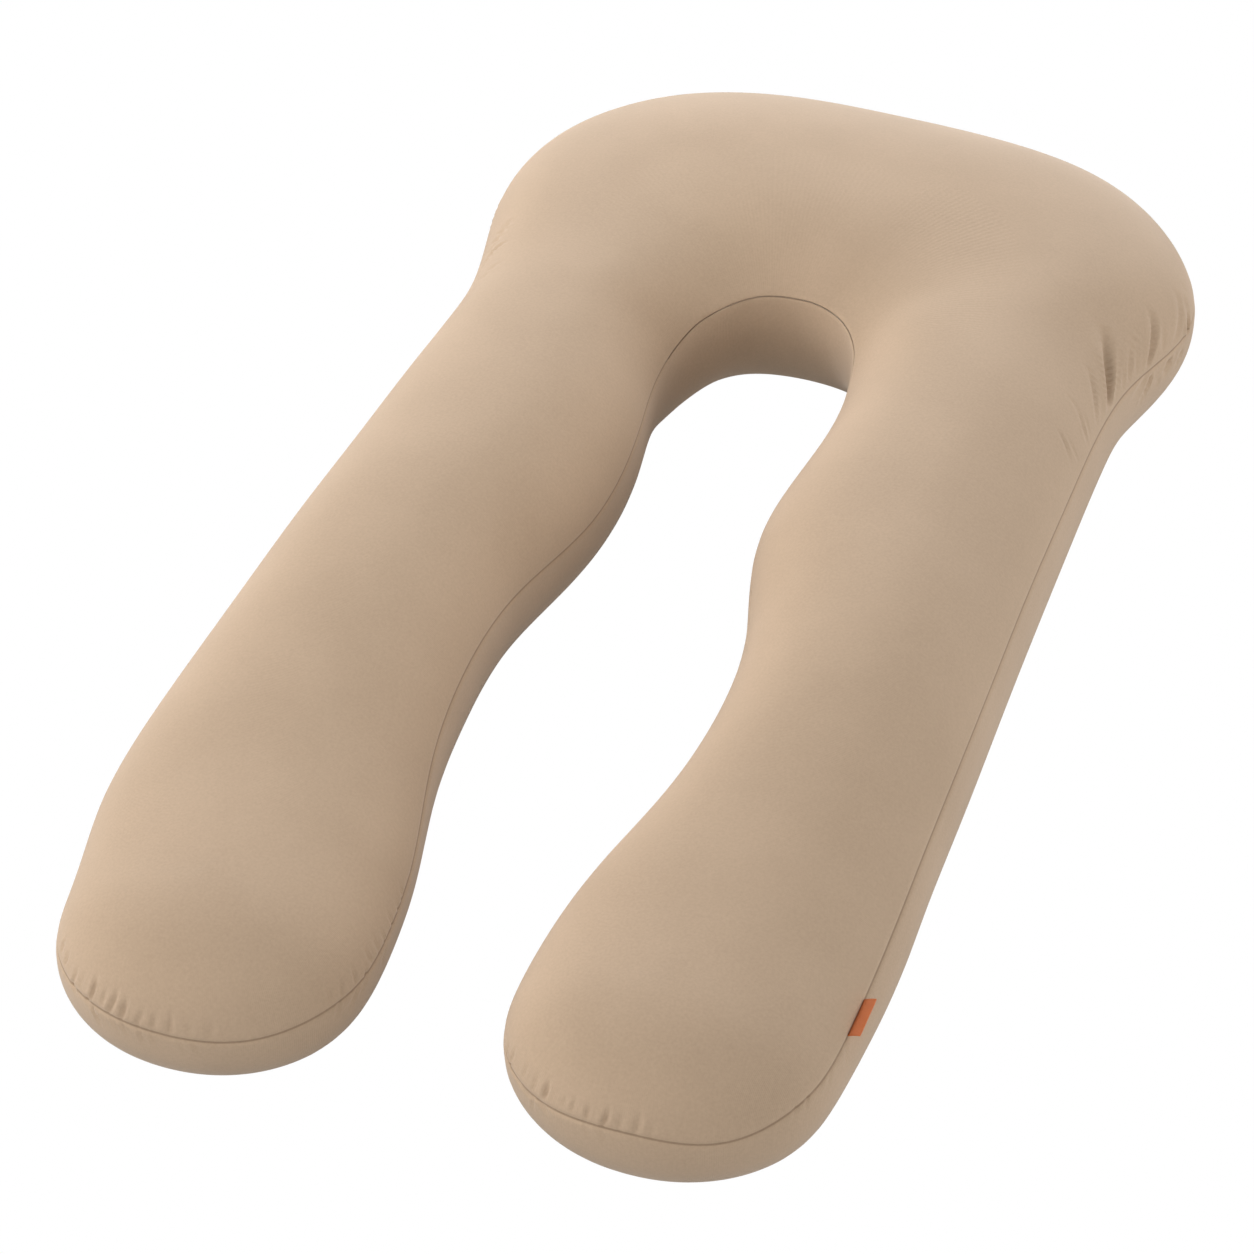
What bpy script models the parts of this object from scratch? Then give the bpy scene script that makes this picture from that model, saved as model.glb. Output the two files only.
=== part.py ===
import math

import bmesh
import bpy
import numpy as np
from mathutils import Matrix, Vector
from mathutils.bvhtree import BVHTree

# U-shaped body pillow lying on its back. Metres, +Z up, feet towards -Y, head towards +Y,
# origin in the middle of its box, on the surface that it lies on.

LENGTH = 1.450          # toe to the back of the head
HUB_Y = 0.985           # centre that the head bends round, measured from the toes
TOE_ROUND = 2.08        # roundness of the feet seen from above, 2 is an ellipse
TOP_ROUND = 2.13        # roundness of the section above its middle
BOTTOM_ROUND = 2.17     # and below it
SETTLE = 0.045          # share of the thickness pressed flat by the pillow's weight
EDGE_HEIGHT = 0.77      # height of the sewn edge round the inside of the head, share of thickness
EDGE_CREASE = 0.7       # how crisp that edge stays
EDGE_BACK = 0.96        # how far out that edge is, the wall below it standing out to 1
LEVELS_UP = 5           # rows of the cage from the seam to the crest
LEVELS_DOWN = 5         # and from the seam to the middle of the underside
TOE_STEPS = 8           # cage steps round each foot

TAB_LENGTH = 0.039      # along the outer seam of the right leg
TAB_Y = 0.171           # its middle, from the toes
TAB_OUT = 0.011         # how far it stands out of the seam
TAB_SAG = 0.0015        # how far its free edge hangs
TAB_THICK = 0.0012
TAB_CLEAR = 0.0006      # between its sewn edge and the cover

# Sections of the legs, from the toes up.
# place: share of the way from the foot's centre to the hub
# out, in: distance of the leg's outer and inner edge from the middle line, left and right
# thick: thickness, seam: height of the seam as a share of it, steps: cage steps to the next
# wall: how far the inner side has the upright wall and crisp edge of the head's inside
LEG_COLUMNS = ("place", "left_out", "left_in", "right_in", "right_out",
               "thick", "seam_out", "seam_in", "wall", "steps")
LEGS = (
    (0.00, 0.324, 0.058, 0.054, 0.325, 0.146, 0.59, 0.59, 0.0, 1),
    (0.13, 0.348, 0.071, 0.063, 0.333, 0.152, 0.64, 0.61, 0.0, 1),
    (0.26, 0.348, 0.095, 0.092, 0.332, 0.165, 0.68, 0.63, 0.0, 1),
    (0.40, 0.339, 0.108, 0.109, 0.332, 0.181, 0.70, 0.64, 0.0, 1),
    (0.54, 0.332, 0.106, 0.099, 0.331, 0.192, 0.70, 0.64, 0.0, 1),
    (0.68, 0.327, 0.082, 0.071, 0.330, 0.195, 0.67, 0.64, 0.1, 1),
    (0.84, 0.322, 0.081, 0.080, 0.329, 0.194, 0.64, 0.66, 0.4, 2),
    (1.00, 0.318, 0.085, 0.074, 0.329, 0.191, 0.62, 0.70, 0.7, 4),
)
FOOT_Y = {"left": 0.123, "right": 0.129}     # centre of each foot's round end
TOE = {"left": 0.127, "right": 0.125}        # length of the round end past it

# Sections of the head, round the hub from the right leg to the left.
# turn: degrees from +X, out and in: radius of the outer and inner edge
HEAD_COLUMNS = ("turn", "out", "in", "thick", "seam_out", "seam_in", "wall", "steps")
HEAD = (
    (15, 0.348, 0.071, 0.190, 0.62, 0.72, 0.85, 4),
    (30, 0.418, 0.068, 0.190, 0.62, 0.74, 0.95, 2),
    (45, 0.460, 0.067, 0.191, 0.62, 0.76, 1.0, 1),
    (60, 0.475, 0.066, 0.193, 0.62, 0.77, 1.0, 1),
    (75, 0.463, 0.065, 0.195, 0.62, 0.77, 1.0, 1),
    (90, 0.461, 0.065, 0.195, 0.62, 0.77, 1.0, 1),
    (105, 0.480, 0.065, 0.195, 0.62, 0.77, 1.0, 1),
    (120, 0.494, 0.066, 0.193, 0.62, 0.77, 1.0, 1),
    (135, 0.469, 0.067, 0.191, 0.62, 0.76, 1.0, 2),
    (150, 0.406, 0.070, 0.190, 0.62, 0.74, 0.95, 4),
    (165, 0.342, 0.077, 0.190, 0.62, 0.72, 0.85, 4),
)


# Main folds pulled in at the neck of each shoulder, on the outer side.
# station: place along the sections counted from the right foot, level: 0 at the seam, 1 at the
# crest, from the fold's upper end to its lower end, depth in metres, spread in stations
FOLD_COLUMNS = ("top_station", "top_level", "low_station", "low_level", "depth", "spread")
FOLDS = (
    (8.30, 0.55, 7.25, 0.00, 0.0060, 0.20),
    (8.75, 0.36, 8.20, -0.12, 0.0045, 0.16),
    (7.25, 0.40, 6.85, 0.05, 0.0030, 0.18),
    (17.75, 0.50, 18.25, 0.08, 0.0050, 0.20),
    (18.35, 0.50, 18.60, 0.05, 0.0030, 0.18),
)


def plan_sections():
    """Sections in order from the right foot round the head to the left foot."""
    rows = []
    legs = [dict(zip(LEG_COLUMNS, row)) for row in LEGS]
    head = [dict(zip(HEAD_COLUMNS, row)) for row in HEAD]
    for leg in legs:
        y = FOOT_Y["right"] + (HUB_Y - FOOT_Y["right"]) * leg["place"]
        rows.append((leg["right_out"], y, leg["right_in"], y,
                     leg["thick"], leg["seam_out"], leg["seam_in"], leg["wall"], leg["steps"]))
    for cut in head:
        turn = math.radians(cut["turn"])
        rows.append((cut["out"] * math.cos(turn), HUB_Y + cut["out"] * math.sin(turn),
                     cut["in"] * math.cos(turn), HUB_Y + cut["in"] * math.sin(turn),
                     cut["thick"], cut["seam_out"], cut["seam_in"], cut["wall"], cut["steps"]))
    for here, leg in enumerate(reversed(legs)):
        y = FOOT_Y["left"] + (HUB_Y - FOOT_Y["left"]) * leg["place"]
        steps = legs[len(legs) - 2 - here]["steps"] if here + 1 < len(legs) else 1
        rows.append((-leg["left_out"], y, -leg["left_in"], y,
                     leg["thick"], leg["seam_out"], leg["seam_in"], leg["wall"], steps))
    station = np.arange(len(rows))[:, None]
    table = np.array(rows)
    return np.hstack([table[:, :-1], station, table[:, -1:]])


def smooth_rows(rows):
    """Rows read from a smooth curve through the table's rows, in each row's number of steps."""
    ends = np.vstack([2 * rows[0] - rows[1], rows, 2 * rows[-1] - rows[-2]])
    out = []
    for i in range(len(rows) - 1):
        a, b, c, d = ends[i:i + 4]
        steps = int(round(b[-1]))
        for k in range(steps):
            t = k / steps
            out.append(0.5 * (2 * b + (c - a) * t + (2 * a - 5 * b + 4 * c - d) * t * t
                              + (3 * b - a - 3 * c + d) * t ** 3))
    out.append(rows[-1])
    return np.array(out)


def half_section(thick, seam, wall):
    """Out and up of half a section, from the underside's middle, by the seam, to the crest."""
    height = 2 * seam - 1
    start = math.asin(abs(height) ** (TOP_ROUND / 2)) * (1 if height > 0 else -1)
    points = []
    for level in range(-LEVELS_DOWN, LEVELS_UP + 1):
        if level <= 0:
            share = -level / LEVELS_DOWN
            angle = start - share * (math.pi / 2 + start)
        else:
            share = level / LEVELS_UP
            angle = start + share * (math.pi / 2 - start)
        power = TOP_ROUND if angle > 0 else BOTTOM_ROUND
        out = max(0.0, math.cos(angle)) ** (2 / power)
        up = 0.5 + 0.5 * math.copysign(abs(math.sin(angle)) ** (2 / power), angle)
        up = max(0.0, (up - SETTLE) / (1 - SETTLE))
        turn = share * math.pi / 2
        if level <= 0:
            bulge = EDGE_BACK + (1 - EDGE_BACK) * math.sin(min(1.0, share / 0.4) * math.pi / 2)
            wall_out = bulge * max(0.0, math.cos(turn)) ** 0.62
            wall_up = max(0.0, EDGE_HEIGHT * (1 - math.sin(turn) ** 0.9) - 0.02) / 0.98
        else:
            wall_out = EDGE_BACK * max(0.0, math.cos(turn))
            wall_up = 1 - (1 - EDGE_HEIGHT) * max(0.0, math.cos(turn)) ** 3
        points.append((out + (wall_out - out) * wall, (up + (wall_up - up) * wall) * thick))
    return points


def fold_depth(station, level):
    """Depth of the neck folds at a place on the outer side."""
    depth = 0.0
    for row in FOLDS:
        fold = dict(zip(FOLD_COLUMNS, row))
        run = (fold["top_level"] - level) / (fold["top_level"] - fold["low_level"])
        if 0.0 < run < 1.0:
            line = fold["top_station"] + (fold["low_station"] - fold["top_station"]) * run
            across = (station - line) / fold["spread"]
            depth += fold["depth"] * math.exp(-across * across) * math.sin(math.pi * run) ** 0.6
    return depth


def ring_points(row):
    """One closed section: the outer half from underside to crest, then the inner half back."""
    ox, oy, ix, iy, thick, seam_out, seam_in, wall, station, _steps = row
    middle = np.array([(ox + ix) / 2, (oy + iy) / 2])
    outer = np.array([ox, oy]) - middle
    inner = np.array([ix, iy]) - middle
    ring = []
    width = np.linalg.norm(outer)
    for k, (out, up) in enumerate(half_section(thick, seam_out, 0.0)):
        rise = k - LEVELS_DOWN
        level = rise / (LEVELS_UP if rise > 0 else LEVELS_DOWN)
        depth = fold_depth(station, level)
        lean = math.atan2(up - thick / 2, width * out)
        place = middle + outer * (out - depth * math.cos(lean) / width)
        ring.append((*place, up - depth * math.sin(lean)))
    for out, up in reversed(half_section(thick, seam_in, wall)[1:-1]):
        ring.append((*(middle + inner * out), up))
    return ring


def toe_rings(row, length):
    """Half sections fanned round a foot's centre, from the outer side to the inner side."""
    ox, oy, ix, _iy, thick, seam_out, seam_in, _wall, _station, _steps = row
    middle = np.array([(ox + ix) / 2, oy])
    half = (ox - ix) / 2
    fan = []
    for k in range(1, TOE_STEPS):
        turn = math.pi * k / TOE_STEPS
        across = math.copysign(abs(math.cos(turn)) ** (2 / TOE_ROUND), math.cos(turn)) * half
        along = -math.sin(turn) ** (2 / TOE_ROUND) * length
        share = k / TOE_STEPS
        seam = seam_out + (seam_in - seam_out) * share
        fan.append([(middle[0] + across * out, middle[1] + along * out, up)
                    for out, up in half_section(thick, seam, 0.0)[1:-1]])
    return fan


def drawn_out(grid, closed):
    """Cage points moved out by what subdivision draws a surface in."""
    grid = np.array(grid)
    if closed:
        soft = grid * 4 / 6 + (np.roll(grid, 1, 1) + np.roll(grid, -1, 1)) / 6
    else:
        inside = grid[:, 1:-1] * 4 / 6 + (grid[:, :-2] + grid[:, 2:]) / 6
        soft = np.concatenate([grid[:, :1], inside, grid[:, -1:]], axis=1)
    moved = grid + (grid - soft)
    flat = grid[..., 2] < 1e-6
    moved[..., 2][flat] = 0.0
    moved[..., 2] = np.maximum(moved[..., 2], 0.0)
    return moved


def build_pillow(collection):
    rows = smooth_rows(plan_sections())
    rings = drawn_out([ring_points(row) for row in rows], closed=True)
    rings[..., 1] -= LENGTH / 2
    mesh = bmesh.new()
    crisp = mesh.edges.layers.float.new("crease_edge")
    verts = [[mesh.verts.new(p) for p in ring] for ring in rings]
    around = len(verts[0])
    half = LEVELS_DOWN + LEVELS_UP
    inner_seam = around - LEVELS_DOWN
    for a, b, row in zip(verts[:-1], verts[1:], rows):
        for k in range(around):
            n = (k + 1) % around
            mesh.faces.new((a[k], a[n], b[n], b[k]))
        mesh.edges.get((a[inner_seam], b[inner_seam]))[crisp] = EDGE_CREASE * row[7]
    for end, side in ((0, "right"), (-1, "left")):
        first = verts[end]
        fan = toe_rings(rows[end], TOE[side])
        outer = first[1:half]
        inner = [first[around - k] for k in range(1, half)]
        columns = [[v.co[:] for v in outer]]
        for column in fan:
            columns.append([(x, y - LENGTH / 2, z) for x, y, z in column])
        columns.append([v.co[:] for v in inner])
        moved = drawn_out(columns, closed=False)[1:-1]
        lines = [outer] + [[mesh.verts.new(p) for p in column] for column in moved] + [inner]
        low, crest = first[0], first[half]
        for a, b in zip(lines[:-1], lines[1:]):
            mesh.faces.new((low, b[0], a[0]))
            for k in range(len(a) - 1):
                mesh.faces.new((a[k], b[k], b[k + 1], a[k + 1]))
            mesh.faces.new((crest, a[-1], b[-1]))
    bmesh.ops.recalc_face_normals(mesh, faces=mesh.faces)
    data = bpy.data.meshes.new("pillow")
    mesh.to_mesh(data)
    mesh.free()
    data.shade_smooth()
    pillow = bpy.data.objects.new("pillow", data)
    collection.objects.link(pillow)
    soft = pillow.modifiers.new("soft", "SUBSURF")
    soft.levels = 1
    soft.render_levels = 1
    soft.use_limit_surface = False
    return pillow


def seat_on_surface(pillow):
    """Moves the pillow so that the middle of its box is over the origin."""
    graph = bpy.context.evaluated_depsgraph_get()
    shape = pillow.evaluated_get(graph).to_mesh()
    points = np.array([v.co[:] for v in shape.vertices])
    middle = (points.min(axis=0) + points.max(axis=0)) / 2
    pillow.data.transform(Matrix.Translation((-middle[0], -middle[1], -points[:, 2].min())))
    return middle


def build_tab(collection, pillow, shift):
    """A folded strip sewn into the outer seam, standing out of it and sagging a little."""
    graph = bpy.context.evaluated_depsgraph_get()
    graph.update()
    cover = BVHTree.FromObject(pillow, graph)
    rows = plan_sections()
    leg = [row for row in rows[:len(LEGS)]]
    mesh = bmesh.new()
    bmesh.ops.create_grid(mesh, x_segments=3, y_segments=8, size=0.5)
    for vert in mesh.verts:
        out = vert.co.x + 0.5
        y = TAB_Y + vert.co.y * TAB_LENGTH
        seam_z = np.interp(y, [row[1] for row in leg], [row[4] * row[5] for row in leg])
        start = Vector((0.5, y - LENGTH / 2 - shift[1], seam_z))
        hit, normal, _face, _far = cover.ray_cast(start, Vector((-1, 0, 0)))
        vert.co = hit + normal * (TAB_CLEAR + TAB_OUT * out) - Vector((0, 0, TAB_SAG)) * out ** 2
    data = bpy.data.meshes.new("side_tab")
    mesh.to_mesh(data)
    mesh.free()
    tab = bpy.data.objects.new("side_tab", data)
    collection.objects.link(tab)
    thick = tab.modifiers.new("thick", "SOLIDIFY")
    thick.thickness = TAB_THICK
    thick.offset = 0.0
    return tab


def plain_material(name, colour, roughness):
    material = bpy.data.materials.new(name)
    material.use_nodes = True
    shader = material.node_tree.nodes["Principled BSDF"]
    shader.inputs["Base Color"].default_value = (*colour, 1.0)
    shader.inputs["Roughness"].default_value = roughness
    shader.inputs["Metallic"].default_value = 0.0
    return material


for old in list(bpy.data.objects):
    bpy.data.objects.remove(old, do_unlink=True)

parts = bpy.data.collections.new("u_pillow")
bpy.context.scene.collection.children.link(parts)
body = build_pillow(parts)
shift = seat_on_surface(body)
tab = build_tab(parts, body, shift)
tab.data.materials.append(plain_material("orange_tape", (0.60, 0.15, 0.03), 0.7))
body.data.materials.append(plain_material("tan_jersey", (0.51, 0.38, 0.27), 0.9))
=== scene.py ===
import math

import bmesh
import bpy
import numpy as np
from mathutils import Matrix, Vector


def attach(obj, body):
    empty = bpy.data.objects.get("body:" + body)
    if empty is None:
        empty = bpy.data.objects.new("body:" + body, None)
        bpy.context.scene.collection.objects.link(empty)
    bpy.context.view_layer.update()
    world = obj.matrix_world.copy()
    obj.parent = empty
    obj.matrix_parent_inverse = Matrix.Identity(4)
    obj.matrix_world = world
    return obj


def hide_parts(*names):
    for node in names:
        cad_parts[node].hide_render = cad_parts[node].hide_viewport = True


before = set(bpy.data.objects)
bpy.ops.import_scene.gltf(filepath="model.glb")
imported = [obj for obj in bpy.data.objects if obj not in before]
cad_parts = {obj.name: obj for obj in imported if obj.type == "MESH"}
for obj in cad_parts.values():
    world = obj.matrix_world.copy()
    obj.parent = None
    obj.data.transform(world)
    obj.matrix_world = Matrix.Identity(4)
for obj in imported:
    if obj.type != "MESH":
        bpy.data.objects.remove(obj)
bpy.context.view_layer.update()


# The stuffed U: two jersey panels of one cut, an upper and a lower, sewn edge to edge all
# round, with a short upright strip let in round the neck opening. It is turned right side
# out and filled with loose fibre, so it crowns up and pulls in where the legs meet the head.

# Sections of the legs, from the toes up. place: share of the way from the foot's middle to
# the head's hub. out, in: from the middle line to the leg's edges. seam: height, share of thick.
# wall: how far the inner side has the neck opening's upright strip. apart: metres between lines
LEG_COLUMNS = ("place", "left_out", "left_in", "right_in", "right_out", "thick",
               "left_seam_out", "left_seam_in", "right_seam_in", "right_seam_out", "wall",
               "right_apart", "left_apart")
LEGS = (
    (0.00, 0.324, 0.058, 0.054, 0.325, 0.146, 0.585, 0.572, 0.550, 0.655, 0.00, 0.0040, 0.0030),
    (0.13, 0.348, 0.071, 0.063, 0.333, 0.152, 0.600, 0.585, 0.595, 0.698, 0.00, 0.0070, 0.0030),
    (0.26, 0.348, 0.095, 0.092, 0.332, 0.165, 0.650, 0.625, 0.630, 0.695, 0.00, 0.0075, 0.0070),
    (0.40, 0.339, 0.108, 0.109, 0.332, 0.181, 0.680, 0.630, 0.640, 0.690, 0.00, 0.0075, 0.0075),
    (0.54, 0.332, 0.106, 0.099, 0.331, 0.192, 0.690, 0.575, 0.620, 0.680, 0.00, 0.0075, 0.0075),
    (0.68, 0.327, 0.082, 0.071, 0.330, 0.195, 0.670, 0.550, 0.620, 0.675, 0.10, 0.0055, 0.0075),
    (0.84, 0.322, 0.081, 0.080, 0.329, 0.194, 0.640, 0.610, 0.660, 0.665, 0.40, 0.0024, 0.0065),
    (1.00, 0.318, 0.085, 0.074, 0.329, 0.191, 0.620, 0.665, 0.700, 0.645, 0.70, 0.0019, 0.0045),
)
FOOT_Y = {"left": 0.123, "right": 0.129}
TOE = {"left": 0.127, "right": 0.125}
# the seam's height across the toes, every thirtieth of a turn; left: from the outer side
TOE_SEAM = {"left": (0.585, 0.583, 0.583, 0.577, 0.561, 0.586, 0.572),
            "right": (0.550, 0.551, 0.573, 0.613, 0.591, 0.645, 0.655)}
HUB_Y = 0.985

# Sections of the head, round the hub from the right leg to the left.
HEAD_COLUMNS = ("turn", "out", "in", "thick", "seam_out", "seam_in", "wall", "apart")
HEAD = (
    (15, 0.348, 0.071, 0.190, 0.60, 0.730, 0.85, 0.0019),
    (30, 0.418, 0.068, 0.190, 0.57, 0.755, 0.95, 0.0026),
    (45, 0.460, 0.067, 0.191, 0.58, 0.765, 1.0, 0.0070),
    (60, 0.475, 0.066, 0.193, 0.60, 0.765, 1.0, 0.0075),
    (75, 0.463, 0.065, 0.195, 0.62, 0.765, 1.0, 0.0075),
    (90, 0.461, 0.065, 0.195, 0.62, 0.762, 1.0, 0.0075),
    (105, 0.480, 0.065, 0.195, 0.62, 0.762, 1.0, 0.0075),
    (120, 0.494, 0.066, 0.193, 0.61, 0.762, 1.0, 0.0070),
    (135, 0.469, 0.067, 0.191, 0.60, 0.755, 1.0, 0.0055),
    (150, 0.406, 0.070, 0.190, 0.60, 0.740, 0.95, 0.0024),
    (165, 0.342, 0.077, 0.190, 0.61, 0.710, 0.85, 0.0022),
)
TOE_LINES = 190          # lines of the mesh round each foot
EASED_LINES = 34         # lines each way over which a leg runs on into its foot
EASING_PASSES = 260
ROWS_UP = 27             # rows from the seam to the crest
ROWS_DOWN = 29           # and from the seam to the middle of the underside
MIDDLE = (0.00497, 0.72272)   # the box's middle, measured from the middle line and the toes


def cover_sections():
    legs = [dict(zip(LEG_COLUMNS, row)) for row in LEGS]
    head = [dict(zip(HEAD_COLUMNS, row)) for row in HEAD]
    rows = []
    for leg in legs:
        y = FOOT_Y["right"] + (HUB_Y - FOOT_Y["right"]) * leg["place"]
        rows.append((leg["right_out"], y, leg["right_seam_out"], leg["right_in"], y,
                     leg["right_seam_in"], leg["wall"], leg["thick"]))
    for cut in head:
        c, s = math.cos(math.radians(cut["turn"])), math.sin(math.radians(cut["turn"]))
        rows.append((cut["out"] * c, HUB_Y + cut["out"] * s, cut["seam_out"], cut["in"] * c,
                     HUB_Y + cut["in"] * s, cut["seam_in"], cut["wall"], cut["thick"]))
    for leg in reversed(legs):
        y = FOOT_Y["left"] + (HUB_Y - FOOT_Y["left"]) * leg["place"]
        rows.append((-leg["left_out"], y, leg["left_seam_out"], -leg["left_in"], y,
                     leg["left_seam_in"], leg["wall"], leg["thick"]))
    apart = [leg["right_apart"] for leg in legs] + [cut["apart"] for cut in head]
    apart += [leg["left_apart"] for leg in reversed(legs)]
    return np.array(rows), apart


def chord_marks(xy):
    return np.concatenate([[0.0], np.cumsum(np.hypot(*np.diff(xy, axis=0).T))])


def fair_curve(marks, rows, at):
    """Values at some marks on the curve of least bending through the rows."""
    n, gap = len(marks), np.diff(marks)
    bend, side = np.zeros((n, n)), np.zeros_like(rows)
    bend[0, 0] = bend[-1, -1] = 1.0
    slope = np.diff(rows, axis=0) / gap[:, None]
    for i in range(1, n - 1):
        bend[i, i - 1:i + 2] = (gap[i - 1], 2 * (gap[i - 1] + gap[i]), gap[i])
        side[i] = 6.0 * (slope[i] - slope[i - 1])
    m = np.linalg.solve(bend, side)
    i = np.clip(np.searchsorted(marks, at, side="right") - 1, 0, n - 2)
    g = gap[i][:, None]
    t = ((at - marks[i]) / gap[i])[:, None]
    a, b = rows[i], rows[i + 1]
    return a * (1 - t) + b * t + g * g * (((1 - t) ** 3 - (1 - t)) * m[i] + (t ** 3 - t) * m[i + 1]) / 6


def steady_marks(marks, stations):
    """Marks for the stations between the rows, always forward and without a jolt."""
    step = np.diff(marks)
    ends = np.concatenate([[step[0]], 2 * step[1:] * step[:-1] / (step[1:] + step[:-1]), [step[-1]]])
    i = np.clip(stations.astype(int), 0, len(step) - 1)
    t = stations - i
    return ((2 * t ** 3 - 3 * t ** 2 + 1) * marks[i] + (3 * t ** 2 - 2 * t ** 3) * marks[i + 1]
            + (t ** 3 - 2 * t ** 2 + t) * ends[i] + (t ** 3 - t ** 2) * ends[i + 1])


def cover_lines():
    """Every line across the cover: its place among the sections, and its section's values."""
    rows, apart = cover_sections()
    stations = []
    for i in range(len(rows) - 1):
        run = math.hypot(rows[i + 1][0] - rows[i][0], rows[i + 1][1] - rows[i][1])
        steps = max(2, int(round(run / apart[i])))
        stations += [i + k / steps for k in range(steps)]
    stations.append(len(rows) - 1.0)
    stations = np.array(stations)
    outer, inner = chord_marks(rows[:, 0:2]), chord_marks(rows[:, 3:5])
    crest = chord_marks((rows[:, 0:2] + rows[:, 3:5]) / 2)
    return stations, np.concatenate([
        fair_curve(outer, rows[:, 0:3], steady_marks(outer, stations)),
        fair_curve(inner, rows[:, 3:7], steady_marks(inner, stations)),
        fair_curve(crest, rows[:, 7:8], steady_marks(crest, stations))], 1)


def power(x, p):
    return np.sign(x) * np.abs(x) ** p


UPPER_FULLNESS = 2.13     # 2 is a round section, more is squarer
LOWER_FULLNESS = 2.17
PRESSED_FLAT = 0.045      # share of the thickness that the floor presses flat
TOE_FULLNESS = 2.08       # the same, of the toes' outline from above


def across_cover(seam, wall):
    """Out and up of half a section, as shares, for each line, from underside to crest."""
    share = np.concatenate([-np.linspace(1, 0, ROWS_DOWN + 1) ** 1.8,
                            np.linspace(0, 1, ROWS_UP + 1)[1:] ** 1.8])[None, :]
    start = np.arcsin(power(2 * seam - 1, UPPER_FULLNESS / 2))[:, None]
    angle = np.where(share < 0, start + share * (np.pi / 2 + start), start + share * (np.pi / 2 - start))
    round_off = np.where(angle > 0, 2 / UPPER_FULLNESS, 2 / LOWER_FULLNESS)
    out = np.clip(np.cos(angle), 0, 1) ** round_off
    up = 0.5 + 0.5 * power(np.sin(angle), round_off)
    up = up - PRESSED_FLAT
    up = 0.5 * (up + np.sqrt(up ** 2 + 0.0009)) / (1 - PRESSED_FLAT) - 0.0002
    edge = ((seam - PRESSED_FLAT) / (1 - PRESSED_FLAT))[:, None]
    turn = np.abs(share) * np.pi / 2
    lip = 0.96 + 0.04 * np.sin(np.clip(np.abs(share) / 0.4, 0, 1) * np.pi / 2)
    low_out = lip * np.clip(np.cos(turn), 0, 1) ** 0.62
    low_up = np.maximum(0.0, edge * (1 - np.sin(turn) ** 0.9) - 0.02) / 0.98
    high_out = 0.96 * np.cos(turn)
    high_up = 1 - (1 - edge) * np.cos(turn) ** 3
    wall_out = np.where(share < 0, low_out, high_out)
    wall_up = np.where(share < 0, low_up, high_up)
    w = wall[:, None]
    return out + (wall_out - out) * w, up + (wall_up - up) * w


def plain_cover():
    """Points of the filled cover before its creases: lines round the seam by rows across it."""
    stations, rows = cover_lines()
    ox, oy, seam_out, ix, iy, seam_in, wall, thick = rows.T
    wall = np.clip(wall, 0, 1)
    mid = np.stack([(ox + ix) / 2, (oy + iy) / 2], 1)
    zero = np.zeros(len(rows))
    lines, feet = [], {}
    for rim, seam, upright in ((np.stack([ox, oy], 1), seam_out, zero),
                               (np.stack([ix, iy], 1), seam_in, wall)):
        out, up = across_cover(seam, upright)
        flat = mid[:, None, :] + (rim - mid)[:, None, :] * out[..., None]
        lines.append(np.concatenate([flat, (up * thick[:, None])[..., None]], 2))
    for end, side in ((-1, "left"), (0, "right")):
        turn = np.pi * np.arange(1, TOE_LINES) / TOE_LINES
        half = (ox[end] - ix[end]) / 2
        seam = fair_curve(np.linspace(0, np.pi, 7), np.array(TOE_SEAM[side])[:, None], turn)[:, 0]
        out, up = across_cover(seam, np.zeros(len(turn)))
        way = 1 if side == "left" else -1
        x = mid[end, 0] + way * half * power(np.cos(turn), 2 / TOE_FULLNESS)[:, None] * out
        y = mid[end, 1] - TOE[side] * (np.sin(turn) ** (2 / TOE_FULLNESS))[:, None] * out
        feet[side] = np.stack([x, y, up * thick[end]], 2)
    cover = np.concatenate([lines[0], feet["left"], lines[1][::-1], feet["right"]])
    # the sides run on into the feet without a corner
    count = len(cover)
    joints = [0, len(rows) - 1, len(rows) + TOE_LINES - 1, 2 * len(rows) + TOE_LINES - 2]
    reach = np.min([np.abs((np.arange(count) - j + count / 2) % count - count / 2) for j in joints], 0)
    ease = (np.clip(1 - reach / EASED_LINES, 0, 1) * 0.5)[:, None, None]
    for _ in range(EASING_PASSES):
        cover += ease * ((np.roll(cover, 1, 0) + np.roll(cover, -1, 0)) / 2 - cover)
    cover[..., 0] -= MIDDLE[0]
    cover[..., 1] -= MIDDLE[1]
    return cover, stations


cover, stations = plain_cover()
LINES, ROWS = cover.shape[:2]
SEAM_ROW = ROWS_DOWN
HEAD_LINES = len(stations)

# where each point lies on the cloth: metres along the seam from the right foot's middle,
# up the outer side, and metres from the seam, up towards the crest
rim = cover[:, SEAM_ROW]
steps = np.linalg.norm(np.roll(rim, -1, 0) - rim, axis=1)
along = np.concatenate([[0.0], np.cumsum(steps)[:-1]])
ROUND = steps.sum()
hops = np.linalg.norm(np.diff(cover, axis=1), axis=2)
walked = np.concatenate([np.zeros((LINES, 1)), np.cumsum(hops, axis=1)], 1)
above = walked - walked[:, SEAM_ROW:SEAM_ROW + 1]


def outward(points):
    """Unit normals of the cover's grid, pointing out."""
    round_way = np.roll(points, -1, 0) - np.roll(points, 1, 0)
    up_way = np.gradient(points, axis=1)
    normal = np.cross(up_way, round_way)
    normal[:, 0] = (0, 0, -1)
    normal[:, -1] = (0, 0, 1)
    size = np.linalg.norm(normal, axis=2, keepdims=True)
    normal = normal / np.maximum(size, 1e-12)
    return normal


normal = outward(cover)
if (normal[:, SEAM_ROW] * (rim - cover[:, -1])).sum() < 0:
    normal[:, 1:-1] *= -1

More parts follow.
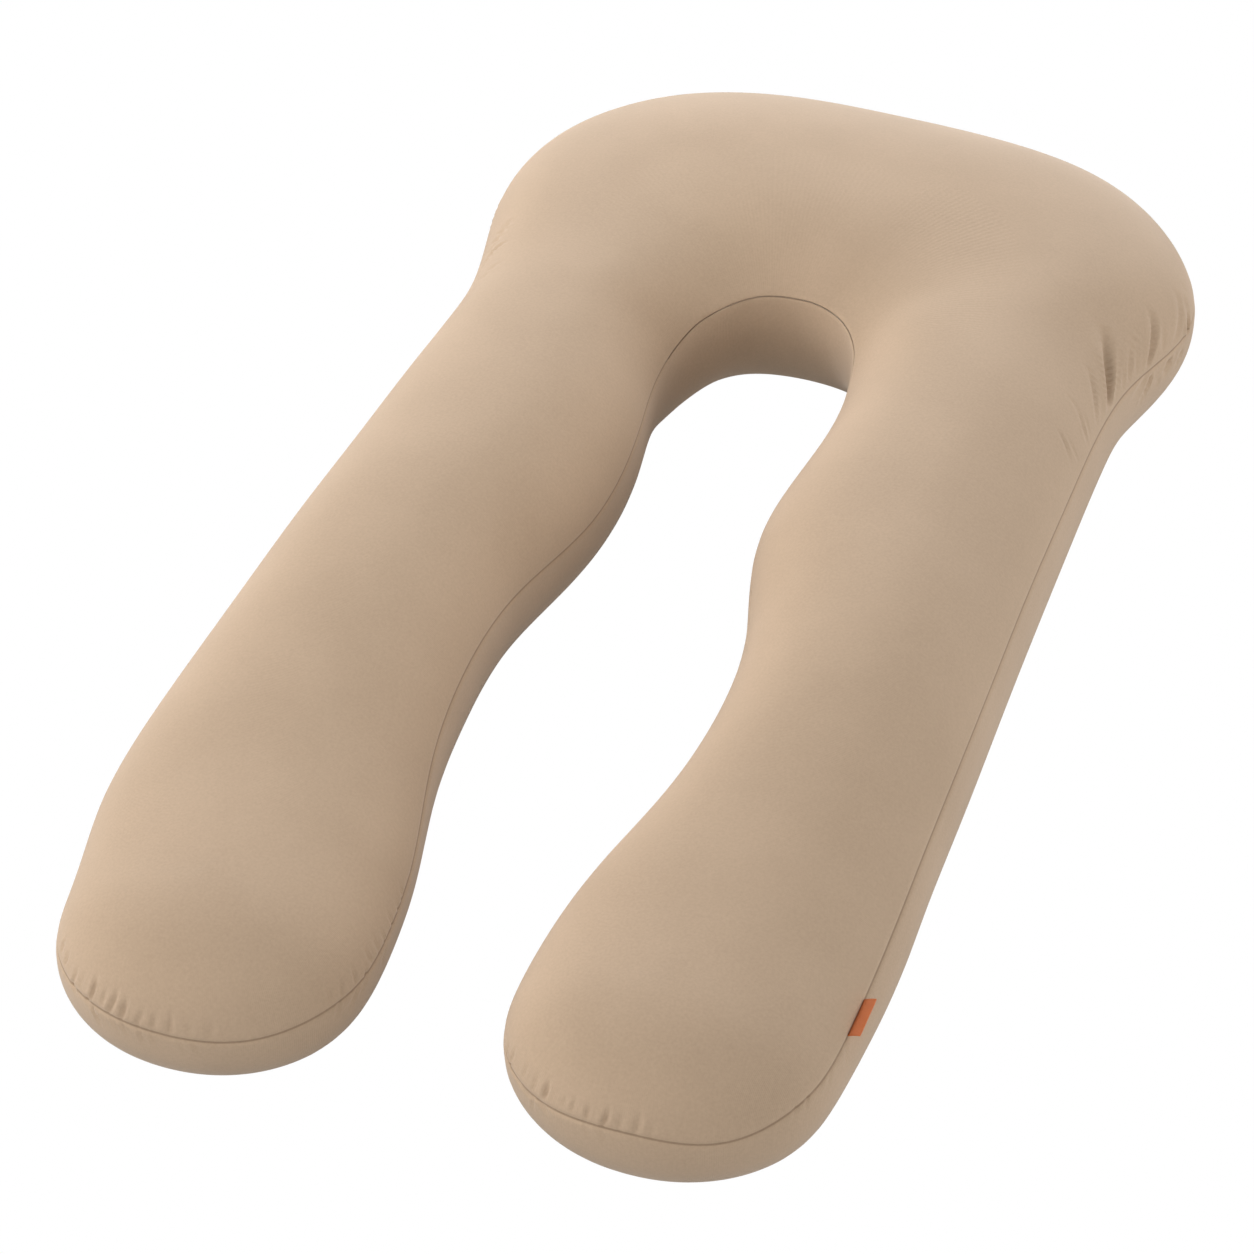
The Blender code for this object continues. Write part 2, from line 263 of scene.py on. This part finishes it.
# Creases of the cover, from the upper end to the lower, in millimetres: along and above are on
# the cloth as measured above, bow is how far the middle strays, deep and wide are at the
# deepest place, and peak is how far down that is, as a share of the crease
CREASE_COLUMNS = ("top_along", "top_above", "low_along", "low_above", "bow", "peak", "deep", "wide")
CREASES = (
    (962.9, 75.5, 872.1, 7.0, 1.6, 0.80, 8.3, 4.7),
    (1025.7, 57.5, 966.6, 4.9, 3.9, 0.75, 5.4, 3.1),
    (1077.8, 19.1, 1056.8, -2.9, -5.8, 0.80, 4.3, 2.7),
    (1077.8, 45.6, 1019.7, 5.1, 7.1, 0.60, 2.2, 3.6),
    (1106.1, 33.9, 1070.1, 19.1, -10.7, 0.60, 1.4, 2.4),
    (985.8, 49.2, 927.7, 7.4, -5.7, 0.70, 2.3, 2.1),
    (983.9, 43.1, 945.2, 7.5, -3.3, 0.70, 1.4, 1.8),
    (952.1, 36.5, 910.9, 7.3, -1.5, 0.70, 1.4, 1.9),
    (946.9, 47.5, 888.4, 10.1, 7.2, 0.70, 1.6, 2.6),
    (1025.7, 38.5, 997.7, 7.8, 0.1, 0.70, 1.3, 2.9),
    (888.4, 56.5, 828.9, 9.7, 2.9, 0.60, 2.7, 2.2),
    (914.5, 58.0, 864.4, 16.7, 0.8, 0.70, 1.6, 1.9),
    (819.9, 42.9, 793.4, 9.6, -0.1, 0.55, 1.8, 1.7),
    (831.1, 54.3, 815.2, 37.7, -6.0, 0.50, 0.9, 1.6),
    (822.2, 33.0, 805.7, 9.6, -0.1, 0.60, 1.1, 1.7),
    (765.4, 47.7, 742.2, 16.1, 4.3, 0.55, 1.6, 1.8),
    (773.1, 37.3, 762.8, 9.5, -2.7, 0.55, 0.9, 1.7),
    (722.1, 42.4, 706.9, 16.1, -10.2, 0.55, 0.7, 2.0),
    (972.3, -5.5, 948.6, -27.1, 2.8, 0.25, 4.0, 2.6),
    (1007.7, -5.4, 976.1, -21.9, 12.0, 0.35, 4.3, 2.6),
    (959.2, -1.0, 931.7, -12.3, 9.0, 0.35, 1.6, 3.1),
    (1027.7, -5.4, 1003.7, -21.9, -4.1, 0.35, 1.4, 2.2),
    (1053.0, -12.4, 1035.6, -21.8, -15.7, 0.30, 2.5, 2.2),
    (2156.8, 65.7, 2211.0, 34.7, -9.1, 0.65, 3.1, 2.0),
    (2209.0, 63.1, 2235.0, 29.7, -8.1, 0.65, 3.4, 2.1),
    (2259.6, 67.7, 2286.0, 49.3, -7.7, 0.60, 1.6, 2.3),
    (2107.2, 17.9, 2138.5, -1.0, -39.1, 0.70, 2.5, 2.3),
    (2267.2, 49.6, 2316.1, 54.5, 20.4, 0.60, 1.1, 2.4),
    (3211.9, 17.7, 3218.1, 8.5, -0.2, 0.70, 2.2, 1.7),
    (3226.4, 17.7, 3230.5, 6.0, 1.1, 0.70, 2.2, 1.7),
    (3247.1, 17.7, 3249.2, 2.1, 1.3, 0.70, 1.8, 1.8),
    (3259.7, 21.4, 3261.8, 3.8, -1.2, 0.70, 0.9, 1.8),
    (3272.4, 25.3, 3274.5, 2.1, 1.1, 0.75, 3.1, 1.9),
    (3287.3, 21.3, 3287.3, 3.8, 0.0, 0.70, 1.3, 1.8),
    (3298.1, 25.2, 3293.8, 0.0, 1.9, 0.75, 2.3, 2.0),
    (3309.1, 21.3, 3306.9, 0.0, 1.0, 0.75, 2.7, 2.3),
    (3327.1, 17.7, 3322.5, 0.0, -0.7, 0.75, 1.6, 2.1),
    (3339.1, 17.8, 3336.6, 2.1, -1.6, 0.75, 1.6, 1.9),
    (3351.1, 21.5, 3351.1, 2.1, 0.0, 0.75, 1.6, 2.3),
    (3367.0, 18.0, 3367.0, 3.9, 0.0, 0.75, 0.9, 2.7),
    (3384.6, 21.8, 3382.4, 2.1, 1.1, 0.75, 1.1, 3.3),
    (3247.1, 3.8, 3261.8, -6.6, -2.3, 0.30, 1.6, 1.5),
    (3268.1, 3.8, 3276.6, -6.6, -0.7, 0.30, 1.3, 1.4),
    (3274.5, -0.8, 3287.3, -16.8, 1.9, 0.25, 2.9, 1.5),
    (3298.1, -2.2, 3306.9, -13.0, 0.8, 0.30, 1.1, 1.5),
    (3306.9, -2.2, 3315.8, -13.0, 0.8, 0.30, 1.6, 1.6),
    (3324.8, -2.2, 3331.8, -16.8, -1.1, 0.30, 1.6, 1.6),
    (3334.1, -2.2, 3339.1, -13.1, 0.4, 0.30, 1.3, 1.5),
    (3358.0, -0.8, 3364.7, -16.8, -0.2, 0.30, 0.9, 1.8),
    (3367.0, -0.8, 3373.6, -16.7, 2.2, 0.30, 1.3, 1.8),
    (3662.7, 0.7, 3640.6, 0.0, -13.6, 0.60, 1.3, 1.5),
    (3625.7, 11.7, 3619.8, -0.8, 0.7, 0.70, 2.2, 1.4),
    (3607.9, 11.6, 3607.9, -2.3, 0.0, 0.70, 1.4, 1.4),
    (3590.2, 14.7, 3590.2, -2.3, 0.0, 0.70, 1.6, 1.5),
    (3572.9, 14.7, 3572.9, -2.2, -3.1, 0.70, 1.4, 1.6),
    (3556.4, 18.0, 3556.4, 0.0, 0.0, 0.70, 1.3, 1.6),
    (3543.4, 21.6, 3543.4, 0.7, -2.5, 0.70, 1.4, 1.7),
    (3533.5, 8.6, 3531.1, -2.2, -1.4, 0.70, 1.6, 1.6),
    (3519.5, 17.8, 3515.0, 2.1, -0.4, 0.70, 1.8, 2.1),
    (3504.2, 17.7, 3495.8, 2.0, -0.8, 0.70, 1.4, 2.0),
    (3487.5, 21.3, 3483.3, 3.8, 0.3, 0.70, 1.1, 2.0),
    (3572.9, -4.2, 3559.1, -13.2, -5.9, 0.30, 1.3, 1.5),
    (3535.9, -2.2, 3521.8, -9.5, -7.2, 0.30, 1.4, 1.6),
    (3517.2, -0.8, 3500.0, -12.9, -0.4, 0.30, 1.6, 1.8),
    (3491.6, 0.7, 3485.4, -12.8, 1.3, 0.30, 1.4, 1.8),
    (5592.7, 11.8, 5600.9, 2.2, 4.4, 0.70, 1.6, 1.5),
    (5611.2, 18.4, 5611.2, -2.2, 2.1, 0.70, 1.8, 1.6),
    (5634.1, 22.0, 5636.2, 6.2, 1.1, 0.70, 0.9, 1.9),
    (5648.9, 21.8, 5651.0, 4.0, 0.9, 0.70, 1.3, 1.8),
    (5661.7, 21.6, 5663.8, 3.9, 1.3, 0.75, 3.1, 2.2),
    (5683.4, 17.6, 5683.4, 6.0, 0.0, 0.75, 0.9, 1.6),
    (5692.2, 17.4, 5692.2, 3.8, 0.0, 0.75, 1.3, 1.6),
    (5705.6, 17.2, 5705.6, 2.0, 0.0, 0.75, 1.8, 1.9),
    (5721.5, 17.0, 5719.2, 0.0, 1.2, 0.75, 2.7, 2.0),
    (5733.2, 17.0, 5733.2, 0.7, 0.0, 0.75, 1.1, 2.1),
    (5748.0, 20.5, 5745.6, 0.0, 1.1, 0.75, 1.4, 2.6),
    (5759.5, 17.1, 5757.2, 0.0, 1.2, 0.75, 0.9, 2.6),
    (5625.8, -0.8, 5646.8, -4.2, 9.8, 0.30, 1.4, 1.5),
    (5653.1, 0.7, 5651.0, -16.7, 0.9, 0.30, 1.1, 1.4),
    (5663.8, 0.0, 5676.8, -9.4, -1.5, 0.30, 1.8, 2.1),
    (5705.6, -0.8, 5712.4, -12.7, -1.1, 0.30, 0.9, 1.6),
    (5716.9, -2.3, 5723.8, -12.7, 1.7, 0.30, 1.1, 1.6),
    (6.2, 0.6, -3.0, -13.4, 2.0, 0.40, 0.9, 2.1),
    (5920.3, -0.8, 5906.8, -10.0, 5.3, 0.40, 0.7, 2.1),
    (5892.4, 1.9, 5884.4, -7.0, -0.1, 0.40, 1.1, 1.5),
    (5876.4, 3.6, 5868.3, -9.8, 3.0, 0.40, 0.7, 2.1),
)


def around_seam(a, b):
    """Signed way along the seam from b to a, the short way round."""
    return (a - b + ROUND / 2) % ROUND - ROUND / 2


lift = np.zeros((LINES, ROWS))
for row in CREASES:
    crease = dict(zip(CREASE_COLUMNS, row))
    top, low = crease["top_above"] / 1000, crease["low_above"] / 1000
    run = (top - above) / (top - low)
    down = np.clip(run, 0, 1)
    line = (crease["top_along"] + (crease["low_along"] - crease["top_along"]) * down
            + crease["bow"] * 4 * down * (1 - down)) / 1000
    slant = (crease["low_along"] - crease["top_along"]) / 1000 / max(top - low, 0.004)
    wide = crease["wide"] / 1000 * math.sqrt(1 + slant ** 2) * (0.75 + 0.25 * np.sin(np.pi * down))
    off = around_seam(along[:, None], line) / wide
    off = np.where(off < 0, off / 1.35, off / 0.7)
    share = np.where(down < crease["peak"], down / crease["peak"], (1 - down) / (1 - crease["peak"]))
    fade = np.where((run > 0) & (run < 1), np.sin(np.pi / 2 * share) ** 0.9, 0.0)
    side_roll = 0.30 * (np.exp(-((np.abs(off) - 1.9) / 0.85) ** 2))
    lift -= crease["deep"] / 1000 * fade * (np.exp(-off ** 2) - side_roll)

# the sewn seam draws the cloth in, with a soft roll on each side of it
SEAM_DEEP, SEAM_WIDE = 0.0009, 0.0014
ROLL_HIGH, ROLL_AWAY, ROLL_WIDE = 0.0003, 0.005, 0.003
lift -= SEAM_DEEP * np.exp(-(above / SEAM_WIDE) ** 2)
lift += ROLL_HIGH * np.exp(-((np.abs(above) - ROLL_AWAY) / ROLL_WIDE) ** 2)
fade_ends = np.clip((above - above[:, :1]) / 0.03, 0, 1) * np.clip((above[:, -1:] - above) / 0.03, 0, 1)
points = cover + normal * (lift * fade_ends)[..., None]
points[..., 2] = np.maximum(points[..., 2], 0.0)

mesh = bmesh.new()
cloth_uv = mesh.loops.layers.uv.new("cloth")
grid = [[None] * ROWS for _ in range(LINES)]
inner_start = HEAD_LINES + TOE_LINES - 1
for q in range(LINES):
    partner = None
    if HEAD_LINES <= q < inner_start:
        partner = HEAD_LINES - 1
    elif inner_start <= q < inner_start + HEAD_LINES:
        partner = HEAD_LINES - 1 - (q - inner_start)
    elif q >= inner_start + HEAD_LINES:
        partner = 0
    for r in range(ROWS):
        if partner is not None and r in (0, ROWS - 1):
            grid[q][r] = grid[partner][r]
            continue
        grid[q][r] = mesh.verts.new(points[q, r])
for q in range(LINES):
    n = (q + 1) % LINES
    a0, a1 = along[q], along[n] if n else ROUND
    for r in range(ROWS - 1):
        corner = [(grid[q][r], a0, above[q, r]), (grid[n][r], a1, above[n, r]),
                  (grid[n][r + 1], a1, above[n, r + 1]), (grid[q][r + 1], a0, above[q, r + 1])]
        kept = []
        for item in corner:
            if all(item[0] is not k[0] for k in kept):
                kept.append(item)
        if len(kept) < 3:
            continue
        face = mesh.faces.new([k[0] for k in kept])
        face.smooth = True
        for loop, (_vert, u, v) in zip(face.loops, kept):
            loop[cloth_uv].uv = (u, v)
bmesh.ops.recalc_face_normals(mesh, faces=mesh.faces)
data = bpy.data.meshes.new("pillow_cover")
mesh.to_mesh(data)
mesh.free()
pillow_cover = bpy.data.objects.new("pillow_cover", data)
bpy.context.scene.collection.objects.link(pillow_cover)

# Fine cotton jersey, a warm tan: a knitted face too small to see from a step away, a soft
# nap that lightens at grazing angles, faint mottling, and painted shade: a dark line along the seam for
# the shade in its groove.
jersey = bpy.data.materials.new("tan_jersey")
jersey.use_nodes = True
nodes, links = jersey.node_tree.nodes, jersey.node_tree.links
shader = nodes["Principled BSDF"]
shader.inputs["Roughness"].default_value = 0.92
shader.inputs["Sheen Weight"].default_value = 0.25
shader.inputs["Sheen Roughness"].default_value = 0.5
shader.inputs["Sheen Tint"].default_value = (1.0, 0.96, 0.91, 1.0)
shader.inputs["Specular IOR Level"].default_value = 0.2
place = nodes.new("ShaderNodeTexCoord")
mottle = nodes.new("ShaderNodeTexNoise")
mottle.inputs["Scale"].default_value = 9.0
mottle.inputs["Detail"].default_value = 3.0
links.new(place.outputs["Object"], mottle.inputs["Vector"])
tone = nodes.new("ShaderNodeValToRGB")
tone.color_ramp.elements[0].position = 0.35
tone.color_ramp.elements[0].color = (0.492, 0.357, 0.244, 1)
tone.color_ramp.elements[1].position = 0.65
tone.color_ramp.elements[1].color = (0.520, 0.379, 0.261, 1)
links.new(mottle.outputs["Fac"], tone.inputs["Fac"])
fibres = nodes.new("ShaderNodeTexNoise")
fibres.inputs["Scale"].default_value = 420.0
fibres.inputs["Detail"].default_value = 2.0
links.new(place.outputs["Object"], fibres.inputs["Vector"])
fleck = nodes.new("ShaderNodeMapRange")
fleck.inputs["From Min"].default_value = 0.25
fleck.inputs["From Max"].default_value = 0.75
fleck.inputs["To Min"].default_value = 0.95
fleck.inputs["To Max"].default_value = 1.045
links.new(fibres.outputs["Fac"], fleck.inputs["Value"])
speckled = nodes.new("ShaderNodeMix")
speckled.data_type = "RGBA"
speckled.blend_type = "MULTIPLY"
speckled.inputs["Factor"].default_value = 1.0
links.new(tone.outputs["Color"], speckled.inputs[6])
links.new(fleck.outputs["Result"], speckled.inputs[7])
knit = nodes.new("ShaderNodeUVMap")
knit.uv_map = "cloth"
on_cloth = nodes.new("ShaderNodeSeparateXYZ")
links.new(knit.outputs["UV"], on_cloth.inputs["Vector"])
from_seam = nodes.new("ShaderNodeMath")
from_seam.operation = "ABSOLUTE"
links.new(on_cloth.outputs["Y"], from_seam.inputs[0])
# painted shade: the cloth darkens to brown within about 1.4 mm of the seam, standing in for the shade in
# the seam's groove
painted_seam_shade = nodes.new("ShaderNodeMapRange")
painted_seam_shade.interpolation_type = "SMOOTHSTEP"
painted_seam_shade.inputs["From Min"].default_value = 0.0004
painted_seam_shade.inputs["From Max"].default_value = 0.0014
painted_seam_shade.inputs["To Min"].default_value = 0.55
painted_seam_shade.inputs["To Max"].default_value = 0.0
links.new(from_seam.outputs["Value"], painted_seam_shade.inputs["Value"])
# mixes the painted seam shade into the cloth's colour
seam_shaded_colour = nodes.new("ShaderNodeMix")
seam_shaded_colour.data_type = "RGBA"
seam_shaded_colour.blend_type = "MIX"
seam_shaded_colour.inputs[7].default_value = (0.20, 0.125, 0.070, 1)
links.new(painted_seam_shade.outputs["Result"], seam_shaded_colour.inputs["Factor"])
links.new(speckled.outputs[2], seam_shaded_colour.inputs[6])
links.new(seam_shaded_colour.outputs[2], shader.inputs["Base Color"])
wales = nodes.new("ShaderNodeTexWave")
wales.wave_type = "BANDS"
wales.bands_direction = "X"
wales.inputs["Scale"].default_value = 180.0
wales.inputs["Distortion"].default_value = 1.5
wales.inputs["Detail"].default_value = 1.0
links.new(knit.outputs["UV"], wales.inputs["Vector"])
height = nodes.new("ShaderNodeMath")
height.operation = "ADD"
links.new(wales.outputs["Fac"], height.inputs[0])
links.new(fibres.outputs["Fac"], height.inputs[1])
bump = nodes.new("ShaderNodeBump")
bump.inputs["Strength"].default_value = 0.25
bump.inputs["Distance"].default_value = 0.0003
links.new(height.outputs["Value"], bump.inputs["Height"])
links.new(bump.outputs["Normal"], shader.inputs["Normal"])
pillow_cover.data.materials.append(jersey)

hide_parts("pillow")
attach(pillow_cover, "root")


# The side tab: a short length of orange satin tape folded double and caught in the outer
# seam beside the right foot. It stands out of the seam and sags a little at its free edge.
TAB_LENGTH = 0.039
TAB_OUT = 0.0115
TAB_Y = 0.171 - MIDDLE[1]
TAB_THICK = 0.0010

bpy.ops.object.select_all(action="DESELECT")
bpy.ops.mesh.primitive_grid_add(x_subdivisions=14, y_subdivisions=32, size=1.0)
side_tab = bpy.context.object
side_tab.name = "woven_tab"
outer_seam = points[:HEAD_LINES, SEAM_ROW]
outer_normal = normal[:HEAD_LINES, SEAM_ROW]
beside_leg = (outer_seam[:, 1] < 0) & (outer_seam[:, 0] > 0)
for vert in side_tab.data.vertices:
    out = vert.co.x + 0.5
    y = TAB_Y + vert.co.y * TAB_LENGTH
    root = [np.interp(y, outer_seam[beside_leg, 1], outer_seam[beside_leg, k]) for k in range(3)]
    way = [np.interp(y, outer_seam[beside_leg, 1], outer_normal[beside_leg, k]) for k in range(3)]
    ripple = 0.0003 * math.sin(9.0 * vert.co.y + 2.0) * out
    vert.co = Vector(root) + Vector(way) * (0.0004 + TAB_OUT * out) \
        + Vector((0, 0, -0.0015 * out ** 2 + ripple))
thick = side_tab.modifiers.new("fold", "SOLIDIFY")
thick.thickness = TAB_THICK
thick.offset = 0.0
bpy.ops.object.modifier_apply(modifier="fold")
bpy.ops.object.shade_smooth_by_angle(angle=math.radians(40))

tape = bpy.data.materials.new("orange_tape")
tape.use_nodes = True
nodes, links = tape.node_tree.nodes, tape.node_tree.links
shader = nodes["Principled BSDF"]
shader.inputs["Roughness"].default_value = 0.55
shader.inputs["Sheen Weight"].default_value = 0.2
place = nodes.new("ShaderNodeTexCoord")
picks = nodes.new("ShaderNodeTexWave")
picks.wave_type = "BANDS"
picks.bands_direction = "Y"
picks.inputs["Scale"].default_value = 260.0
picks.inputs["Distortion"].default_value = 0.6
links.new(place.outputs["Object"], picks.inputs["Vector"])
shade = nodes.new("ShaderNodeValToRGB")
shade.color_ramp.elements[0].color = (0.560, 0.115, 0.016, 1)
shade.color_ramp.elements[1].color = (0.700, 0.180, 0.030, 1)
links.new(picks.outputs["Fac"], shade.inputs["Fac"])
links.new(shade.outputs["Color"], shader.inputs["Base Color"])
bump = nodes.new("ShaderNodeBump")
bump.inputs["Strength"].default_value = 0.4
bump.inputs["Distance"].default_value = 0.0002
links.new(picks.outputs["Fac"], bump.inputs["Height"])
links.new(bump.outputs["Normal"], shader.inputs["Normal"])
side_tab.data.materials.clear()
side_tab.data.materials.append(tape)

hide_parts("side_tab")
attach(side_tab, "root")


# The studio: a floor that glows white and throws no shadow, pale walls that darken towards the
# ceiling, eight soft round lights, strongest high at the left and low behind, and the camera
# at the pillow's front right, looking down.
bpy.ops.object.select_all(action="DESELECT")
bpy.ops.mesh.primitive_plane_add(size=30.0, location=(0, 0, -0.0005))
floor = bpy.context.object
floor.name = "floor"
floor_white = bpy.data.materials.new("floor_white")
floor_white.use_nodes = True
nodes, links = floor_white.node_tree.nodes, floor_white.node_tree.links
shader = nodes["Principled BSDF"]
shader.inputs["Base Color"].default_value = (0, 0, 0, 1)
shader.inputs["Roughness"].default_value = 1.0
shader.inputs["Specular IOR Level"].default_value = 0.0
shader.inputs["Emission Color"].default_value = (1, 1, 1, 1)
shader.inputs["Emission Strength"].default_value = 1.0
floor.data.materials.append(floor_white)
floor.visible_diffuse = floor.visible_glossy = floor.visible_shadow = False

sky = bpy.data.worlds.new("studio")
bpy.context.scene.world = sky
sky.use_nodes = True
nodes, links = sky.node_tree.nodes, sky.node_tree.links
way = nodes.new("ShaderNodeTexCoord")
split = nodes.new("ShaderNodeSeparateXYZ")
links.new(way.outputs["Generated"], split.inputs["Vector"])
height = nodes.new("ShaderNodeMapRange")
height.inputs["From Min"].default_value = -1.0
links.new(split.outputs["Z"], height.inputs["Value"])
walls = nodes.new("ShaderNodeValToRGB")
stops = walls.color_ramp.elements
stops[0].position, stops[0].color = 0.48, (0.170, 0.170, 0.170, 1)
stops[1].position, stops[1].color = 0.72, (0.045, 0.045, 0.045, 1)
for where, level in ((0.52, 0.95), (0.66, 0.95)):
    stop = stops.new(where)
    stop.color = (level, level, level, 1)
links.new(height.outputs["Result"], walls.inputs["Fac"])
links.new(walls.outputs["Color"], nodes["Background"].inputs["Color"])
nodes["Background"].inputs["Strength"].default_value = 2.0


def soft_light(name, spot, aim, size, power_w):
    light = bpy.data.lights.new(name, "AREA")
    light.shape = "DISK"
    light.size = size
    light.energy = power_w
    lamp = bpy.data.objects.new(name, light)
    bpy.context.scene.collection.objects.link(lamp)
    lamp.location = spot
    lamp.rotation_mode = "QUATERNION"
    lamp.rotation_quaternion = (Vector(aim) - Vector(spot)).to_track_quat("-Z", "Y")
    return lamp


LIGHT_AWAY, LIGHT_ACROSS = 4.0, 1.6
LIGHT_AIM = (0, 0, 0.1)
# name, degrees turned from the front to the right, degrees above the floor, watts
for name, turn, rise, watts in (("right", 90, 20, 19), ("back_right", 135, 20, 30),
                                ("back", 180, 20, 36), ("back_left", 225, 20, 42),
                                ("left", 270, 20, 11), ("left_high", 270, 50, 53),
                                ("front_left", 315, 20, 20), ("front_left_high", 315, 50, 24)):
    turn, rise = math.radians(turn), math.radians(rise)
    spot = (LIGHT_AWAY * math.sin(turn) * math.cos(rise), -LIGHT_AWAY * math.cos(turn) * math.cos(rise),
            LIGHT_AWAY * math.sin(rise))
    soft_light(name, spot, LIGHT_AIM, LIGHT_ACROSS, watts)

AZIMUTH, ELEVATION = math.radians(19.09), math.radians(37.805)
ROLL = math.radians(-0.27)
LOOK_AT = Vector((-0.01378, -0.13457, 0.09))
DISTANCE = 3.294
back = Vector((math.sin(AZIMUTH) * math.cos(ELEVATION), -math.cos(AZIMUTH) * math.cos(ELEVATION),
               math.sin(ELEVATION)))
lens = bpy.data.cameras.new("camera")
lens.sensor_width = 36.0
lens.lens = 107.77
camera = bpy.data.objects.new("camera", lens)
bpy.context.scene.collection.objects.link(camera)
camera.location = LOOK_AT + back * DISTANCE
turned = (-back).to_track_quat("-Z", "Y").to_matrix() @ Matrix.Rotation(ROLL, 3, "Z")
camera.rotation_mode = "QUATERNION"
camera.rotation_quaternion = turned.to_quaternion()
bpy.context.scene.camera = camera
bpy.context.scene.view_settings.view_transform = "Standard"
